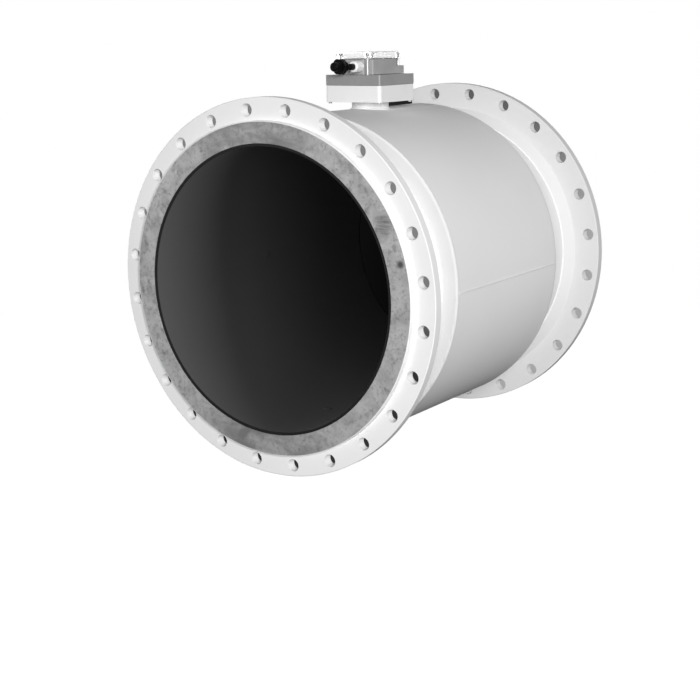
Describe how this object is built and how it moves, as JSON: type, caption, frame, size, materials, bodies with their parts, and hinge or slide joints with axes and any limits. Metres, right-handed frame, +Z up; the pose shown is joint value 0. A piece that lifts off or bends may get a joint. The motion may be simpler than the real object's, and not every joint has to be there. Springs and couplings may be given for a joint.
{
  "type": "electromagnetic flow meter",
  "caption": "Large flanged water flow meter: rubber-lined pipe, drum-shaped coil housing and a small transmitter box with a clear lid and cable glands on a short neck.",
  "frame": {"origin": "centre of the inlet flange's bolt face, on the pipe axis", "axes": "+Y along the pipe from inlet to outlet, +Z up to the transmitter"},
  "size_m": [0.895, 0.908, 0.9875],
  "materials": {
    "white_paint": "satin paint",
    "bare_steel": "mottled, dull",
    "pipe_steel": "painted over where it shows",
    "hard_rubber": "smooth, dull black",
    "soft_rubber": "dull black",
    "case_paint": "satin powder coat",
    "grey_paint": "satin powder coat, grey",
    "grey_plastic": "matt grey",
    "clear_plastic": "clear polycarbonate",
    "bright_metal": "bright",
    "black_plastic": "matt black",
    "copper": "enamelled wire",
    "insulation": "resin board",
    "iron": "magnet iron",
    "spring_steel": "ground",
    "lead_jacket": "smooth jacket",
    "board": "printed circuit board",
    "terminal_plastic": "moulded",
    "cell_steel": "sleeved cell",
    "display_glass": "liquid crystal glass",
    "light_plastic": "light grey"
  },
  "bodies": {
    "root": {"measuring_tube": "pipe_steel", "liner": "hard_rubber", "inlet_flange": "white_paint", "outlet_flange": "white_paint", "inlet_sealing_ring": "bare_steel", "outlet_sealing_ring": "bare_steel", "coil_housing_shell": "white_paint", "inlet_end_plate": "white_paint", "outlet_end_plate": "white_paint", "upper_coil_pad": "insulation", "upper_coil": "copper", "upper_pole_core": "iron", "lower_coil_pad": "insulation", "lower_coil": "copper", "lower_pole_core": "iron", "right_return_yoke": "iron", "left_return_yoke": "iron", "yoke_screws": "spring_steel", "right_electrode": "bright_metal", "left_electrode": "bright_metal", "reference_electrode": "bright_metal", "electrode_bushes": "light_plastic", "electrode_springs": "spring_steel", "electrode_nuts": "spring_steel", "right_signal_lead": "lead_jacket", "left_signal_lead": "lead_jacket", "lower_coil_lead": "lead_jacket", "reference_lead": "lead_jacket", "upper_coil_lead": "lead_jacket", "neck": "case_paint", "neck_gasket": "soft_rubber", "transmitter_base": "case_paint", "base_gasket": "soft_rubber", "adapter_plate": "grey_paint", "housing_gasket": "soft_rubber", "electronics_housing": "grey_plastic", "lid_seal": "soft_rubber", "clear_lid": "clear_plastic", "neck_screws": "spring_steel", "base_screws": "bright_metal", "lid_screws": "bright_metal", "main_board": "board", "display_module": "display_glass", "display_bezel": "light_plastic", "terminal_board": "board", "terminal_blocks": "terminal_plastic", "battery_cells": "cell_steel", "battery_cradles": "light_plastic", "black_gland_body": "black_plastic", "black_gland_plug": "soft_rubber", "metal_gland_body": "bright_metal", "metal_gland_plug": "black_plastic", "front_seal_screw": "bright_metal"},
    "black_gland_nut": {"black_gland_nut": "black_plastic"},
    "metal_gland_nut": {"metal_gland_nut": "bright_metal"}
  },
  "joints": [
    {"name": "black_gland_turn", "type": "hinge", "parent": "root", "child": "black_gland_nut", "pos_m": [-0.022, 0.3297, 0.5048], "axis": [0, -1, 0], "range_deg": [0, 360]},
    {"name": "metal_gland_turn", "type": "hinge", "parent": "root", "child": "metal_gland_nut", "pos_m": [0.022, 0.3502, 0.5048], "axis": [0, -1, 0], "range_deg": [0, 360]}
  ]
}
